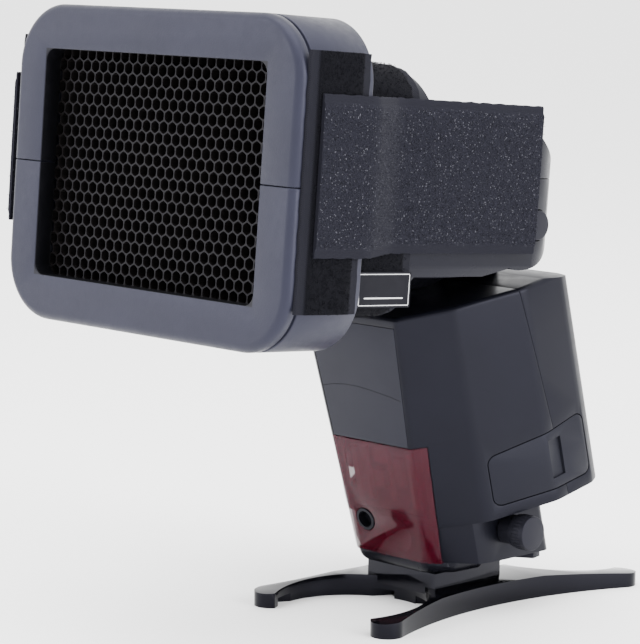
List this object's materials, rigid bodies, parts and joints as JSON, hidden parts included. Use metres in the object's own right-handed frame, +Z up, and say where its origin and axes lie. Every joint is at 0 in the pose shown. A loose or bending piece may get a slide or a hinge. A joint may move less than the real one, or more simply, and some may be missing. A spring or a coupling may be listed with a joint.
{
  "type": "shoe-mount camera flash with honeycomb grid",
  "caption": "Shoe-mount flash with swivelling and tilting head, strapped-on honeycomb grid and a legged mini stand with a cold shoe.",
  "frame": {"origin": "mouth of the thread in the underside of the stand, on the plane that the stand rests on", "axes": "+Z up, the flash looks along -Y, +X is the side with the terminal cover"},
  "size_m": [0.1094, 0.16, 0.1616],
  "materials": {
    "stand_plastic": "polished black",
    "insert_brass": "satin",
    "foot_metal": "brushed",
    "contact_metal": "plated",
    "body_plastic": "fine satin",
    "panel_plastic": "fine satin",
    "red_window": "polished translucent dark red",
    "clear_window": "polished clear",
    "lens_plastic": "ribbed clear",
    "display_gray": "smooth",
    "button_rubber": "smooth",
    "dial_plastic": "satin",
    "cover_rubber": "smooth",
    "steel_part": "machined",
    "board": "solder mask",
    "cell_metal": "plain sleeve",
    "holder_plastic": "satin",
    "capacitor_can": "shrunk sleeve",
    "reflector_metal": "polished",
    "tube_glass": "polished clear",
    "white_panel": "smooth",
    "grid_plastic": "fine textured",
    "honeycomb_plastic": "satin walls",
    "loop_fabric": "woven loop pile",
    "hook_fabric": "woven hook tape",
    "label_black": "printed border"
  },
  "bodies": {
    "stand": {"stand_plate": "stand_plastic", "tripod_insert": "insert_brass"},
    "flash_body": {"foot_plate": "foot_metal", "foot_contacts": "contact_metal", "foot_block": "body_plastic", "front_shell": "body_plastic", "rear_shell": "body_plastic", "front_panel": "panel_plastic", "base_housing": "body_plastic", "lamp_block": "holder_plastic", "slave_sensor": "steel_part", "sensor_window": "red_window", "display_window": "clear_window", "display_module": "display_gray", "control_board": "board", "battery_holder": "holder_plastic", "battery_cells": "cell_metal", "capacitor": "capacitor_can", "main_board": "board", "power_socket": "holder_plastic", "bracket_nut": "steel_part", "sync_terminal": "contact_metal"},
    "lock_lever": {"lock_lever": "body_plastic"},
    "lock_pin": {"lock_pin": "steel_part"},
    "lock_release": {"lock_release": "button_rubber"},
    "mode_button": {"mode_button": "button_rubber"},
    "sync_button": {"sync_button": "button_rubber"},
    "zoom_button": {"zoom_button": "button_rubber"},
    "light_button": {"light_button": "button_rubber"},
    "select_dial": {"select_dial": "dial_plastic"},
    "set_button": {"set_button": "dial_plastic"},
    "power_switch": {"power_switch": "dial_plastic"},
    "test_button": {"test_button": "clear_window"},
    "door_carrier": {"door_carrier": "steel_part"},
    "battery_door": {"battery_door": "body_plastic"},
    "terminal_cover": {"terminal_cover": "cover_rubber"},
    "sync_cap": {"sync_cap": "cover_rubber"},
    "turret": {"turret": "body_plastic", "swivel_ring": "steel_part"},
    "head": {"tilt_axle": "steel_part", "head_lower_shell": "body_plastic", "head_upper_shell": "body_plastic", "fresnel_lens": "lens_plastic", "wide_panel": "clear_window", "catchlight_panel": "white_panel", "tube_board": "board", "zoom_motor": "steel_part", "grid_frame_upper": "grid_plastic", "grid_frame_lower": "grid_plastic", "honeycomb_core": "honeycomb_plastic", "loop_pads": "loop_fabric", "hook_strap_right": "hook_fabric", "hook_strap_left": "hook_fabric", "loop_band": "loop_fabric", "blank_label": "label_black"},
    "tilt_release": {"tilt_release": "button_rubber"},
    "zoom_carriage": {"reflector": "reflector_metal", "flash_tube": "tube_glass", "zoom_carriage": "holder_plastic"},
    "lead_screw": {"lead_screw": "steel_part"}
  },
  "joints": [
    {"name": "foot_slide", "type": "slide", "parent": "stand", "child": "flash_body", "axis": [0, 1, 0], "range_m": [0, 0.02]},
    {"name": "lock_lever_turn", "type": "hinge", "parent": "flash_body", "child": "lock_lever", "pos_m": [0, 0.013, 0.0113], "axis": [0, 0, 1], "range_deg": [0, 50]},
    {"name": "lock_pin_lift", "type": "slide", "parent": "flash_body", "child": "lock_pin", "axis": [0, 0, 1], "range_m": [0, 0.0018]},
    {"name": "lock_release_press", "type": "slide", "parent": "flash_body", "child": "lock_release", "axis": [0, -1, 0], "range_m": [0, 0.0011], "stiffness_N_per_m": 300},
    {"name": "mode_button_press", "type": "slide", "parent": "flash_body", "child": "mode_button", "axis": [0, -0.9681, -0.2504], "range_m": [0, 0.0008], "stiffness_N_per_m": 400},
    {"name": "sync_button_press", "type": "slide", "parent": "flash_body", "child": "sync_button", "axis": [0, -0.9681, -0.2504], "range_m": [0, 0.0008], "stiffness_N_per_m": 400},
    {"name": "zoom_button_press", "type": "slide", "parent": "flash_body", "child": "zoom_button", "axis": [0, -0.9681, -0.2504], "range_m": [0, 0.0008], "stiffness_N_per_m": 400},
    {"name": "light_button_press", "type": "slide", "parent": "flash_body", "child": "light_button", "axis": [0, -0.9681, -0.2504], "range_m": [0, 0.0008], "stiffness_N_per_m": 400},
    {"name": "select_dial_turn", "type": "hinge", "parent": "flash_body", "child": "select_dial", "pos_m": [0, 0.0219, 0.05111], "axis": [0, 0.9681, 0.2504], "continuous": true},
    {"name": "set_button_press", "type": "slide", "parent": "flash_body", "child": "set_button", "axis": [0, -0.9681, -0.2504], "range_m": [0, 0.0008], "stiffness_N_per_m": 400},
    {"name": "power_switch_slide", "type": "slide", "parent": "flash_body", "child": "power_switch", "axis": [1, 0, 0], "range_m": [0, 0.005]},
    {"name": "test_button_press", "type": "slide", "parent": "flash_body", "child": "test_button", "axis": [0, -0.9681, -0.2504], "range_m": [0, 0.0008], "stiffness_N_per_m": 400},
    {"name": "door_slide", "type": "slide", "parent": "flash_body", "child": "door_carrier", "axis": [0, 0.2504, -0.9681], "range_m": [0, 0.003]},
    {"name": "battery_door_swing", "type": "hinge", "parent": "door_carrier", "child": "battery_door", "pos_m": [-0.0272, -0.01012, 0.04593], "axis": [0, -0.2504, 0.9681], "range_deg": [0, 95]},
    {"name": "terminal_cover_swing", "type": "hinge", "parent": "flash_body", "child": "terminal_cover", "pos_m": [0.02806, -0.0098, 0.03671], "axis": [0, 0.2504, -0.9681], "range_deg": [0, 100]},
    {"name": "sync_cap_pull", "type": "slide", "parent": "flash_body", "child": "sync_cap", "axis": [1, 0, 0], "range_m": [0, 0.006]},
    {"name": "head_swivel", "type": "hinge", "parent": "flash_body", "child": "turret", "pos_m": [0, -0.01, 0.092], "axis": [0, 0, 1], "range_deg": [-180, 180]},
    {"name": "head_tilt", "type": "hinge", "parent": "turret", "child": "head", "pos_m": [0, -0.01, 0.111], "axis": [-1, 0, 0], "range_deg": [-4, 85]},
    {"name": "tilt_release_press", "type": "slide", "parent": "head", "child": "tilt_release", "axis": [-1, 0, 0], "range_m": [0, 0.0012], "stiffness_N_per_m": 400},
    {"name": "zoom_slide", "type": "slide", "parent": "head", "child": "zoom_carriage", "axis": [0, 0.997, -0.0776], "range_m": [0, 0.012]},
    {"name": "lead_screw_turn", "type": "hinge", "parent": "head", "child": "lead_screw", "pos_m": [0.0286, -0.05357, 0.10536], "axis": [0, 0.997, -0.0776], "range_deg": [0, 2165]}
  ],
  "couplings": [
    {"joint": "lock_lever_turn", "follows": "lock_pin_lift", "rad_per_m": 484.8},
    {"joint": "lead_screw_turn", "follows": "zoom_slide", "rad_per_m": 3141.6}
  ]
}
